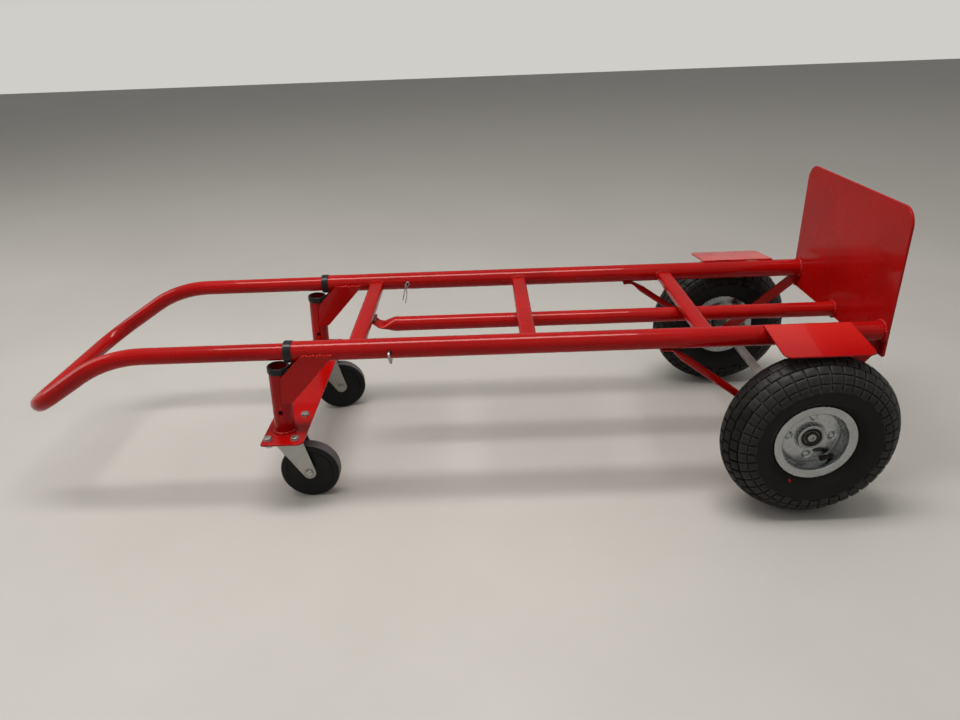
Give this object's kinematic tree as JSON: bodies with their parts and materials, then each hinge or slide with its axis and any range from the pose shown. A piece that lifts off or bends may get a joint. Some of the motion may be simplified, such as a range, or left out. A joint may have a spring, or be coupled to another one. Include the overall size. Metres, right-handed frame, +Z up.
{
  "type": "hand truck",
  "caption": "Convertible hand truck set as a platform cart, with a sliding push handle, pneumatic main wheels and swivel casters.",
  "frame": {"origin": "on the floor under the middle of the whole truck", "axes": "+X from the push handle to the toe plate, +Y to the truck's left, +Z up; the four wheels stand on z = 0"},
  "size_m": [1.3747, 0.543, 0.46],
  "materials": {
    "red_paint": "glossy red enamel",
    "zinc_plate": "zinc plated",
    "bare_steel": "bare steel, satin",
    "tire_rubber": "matte black rubber",
    "caster_rubber": "hard black rubber",
    "rubber": "matte black rubber",
    "black_plastic": "moulded black plastic"
  },
  "bodies": {
    "frame": {"axle_spacer_left": "zinc_plate", "axle_spacer_right": "zinc_plate", "axle_strap_left": "red_paint", "axle_strap_right": "red_paint", "axle_strut_left": "red_paint", "axle_strut_right": "red_paint", "caster_base_plate": "red_paint", "caster_mount_plate_left": "zinc_plate", "caster_mount_plate_right": "zinc_plate", "center_tube": "red_paint", "crossbar_lower": "red_paint", "crossbar_middle": "red_paint", "crossbar_upper": "red_paint", "handle_socket_left": "red_paint", "handle_socket_right": "red_paint", "main_axle": "bare_steel", "mount_bolt_left_1": "zinc_plate", "mount_bolt_left_2": "zinc_plate", "mount_bolt_left_3": "zinc_plate", "mount_bolt_left_4": "zinc_plate", "mount_bolt_right_1": "zinc_plate", "mount_bolt_right_2": "zinc_plate", "mount_bolt_right_3": "zinc_plate", "mount_bolt_right_4": "zinc_plate", "rail_collar_left": "black_plastic", "rail_collar_right": "black_plastic", "side_rail_left": "red_paint", "side_rail_right": "red_paint", "socket_cap_left": "black_plastic", "socket_cap_right": "black_plastic", "socket_gusset_inner_left": "red_paint", "socket_gusset_inner_right": "red_paint", "socket_gusset_outer_left": "red_paint", "socket_gusset_outer_right": "red_paint", "toe_plate": "red_paint", "wheel_guard_left": "red_paint", "wheel_guard_right": "red_paint"},
    "main_wheel_left": {"tire_left": "tire_rubber", "rim_outer_left": "zinc_plate", "rim_inner_left": "zinc_plate", "bearing_outer_left": "bare_steel", "bearing_inner_left": "bare_steel", "valve_stem_left": "rubber"},
    "caster_fork_left": {"caster_fork_left": "zinc_plate", "caster_axle_left": "zinc_plate"},
    "caster_wheel_left": {"caster_wheel_left": "caster_rubber"},
    "main_wheel_right": {"tire_right": "tire_rubber", "rim_outer_right": "zinc_plate", "rim_inner_right": "zinc_plate", "bearing_outer_right": "bare_steel", "bearing_inner_right": "bare_steel", "valve_stem_right": "rubber"},
    "caster_fork_right": {"caster_fork_right": "zinc_plate", "caster_axle_right": "zinc_plate"},
    "caster_wheel_right": {"caster_wheel_right": "caster_rubber"},
    "push_handle": {"push_handle": "red_paint"},
    "lock_pin_left": {"lock_pin_left": "zinc_plate", "pin_clip_left": "zinc_plate"},
    "lock_pin_right": {"lock_pin_right": "zinc_plate", "pin_clip_right": "zinc_plate"}
  },
  "joints": [
    {"name": "main_wheel_spin_left", "type": "hinge", "parent": "frame", "child": "main_wheel_left", "pos_m": [0.5548, 0.2285, 0.133], "axis": [0, 1, 0], "continuous": true},
    {"name": "caster_swivel_left", "type": "hinge", "parent": "frame", "child": "caster_fork_left", "pos_m": [-0.2617, 0.15, 0.114], "axis": [0, 0, 1], "continuous": true},
    {"name": "caster_spin_left", "type": "hinge", "parent": "caster_fork_left", "child": "caster_wheel_left", "pos_m": [-0.23328, 0.15576, 0.049], "axis": [-0.1987, 0.9801, 0], "continuous": true},
    {"name": "main_wheel_spin_right", "type": "hinge", "parent": "frame", "child": "main_wheel_right", "pos_m": [0.5548, -0.2285, 0.133], "axis": [0, 1, 0], "continuous": true},
    {"name": "caster_swivel_right", "type": "hinge", "parent": "frame", "child": "caster_fork_right", "pos_m": [-0.2617, -0.15, 0.114], "axis": [0, 0, 1], "continuous": true},
    {"name": "caster_spin_right", "type": "hinge", "parent": "caster_fork_right", "child": "caster_wheel_right", "pos_m": [-0.2327, -0.15, 0.049], "axis": [0, 1, 0], "continuous": true},
    {"name": "push_handle_slide", "type": "slide", "parent": "frame", "child": "push_handle", "axis": [-1, 0, 0], "range_m": [0, 0.16]},
    {"name": "lock_pin_turn_left", "type": "hinge", "parent": "frame", "child": "lock_pin_left", "pos_m": [-0.0802, 0.156, 0.2674], "axis": [0, 1, 0], "continuous": true},
    {"name": "lock_pin_turn_right", "type": "hinge", "parent": "frame", "child": "lock_pin_right", "pos_m": [-0.0802, -0.156, 0.2674], "axis": [0, 1, 0], "continuous": true}
  ]
}
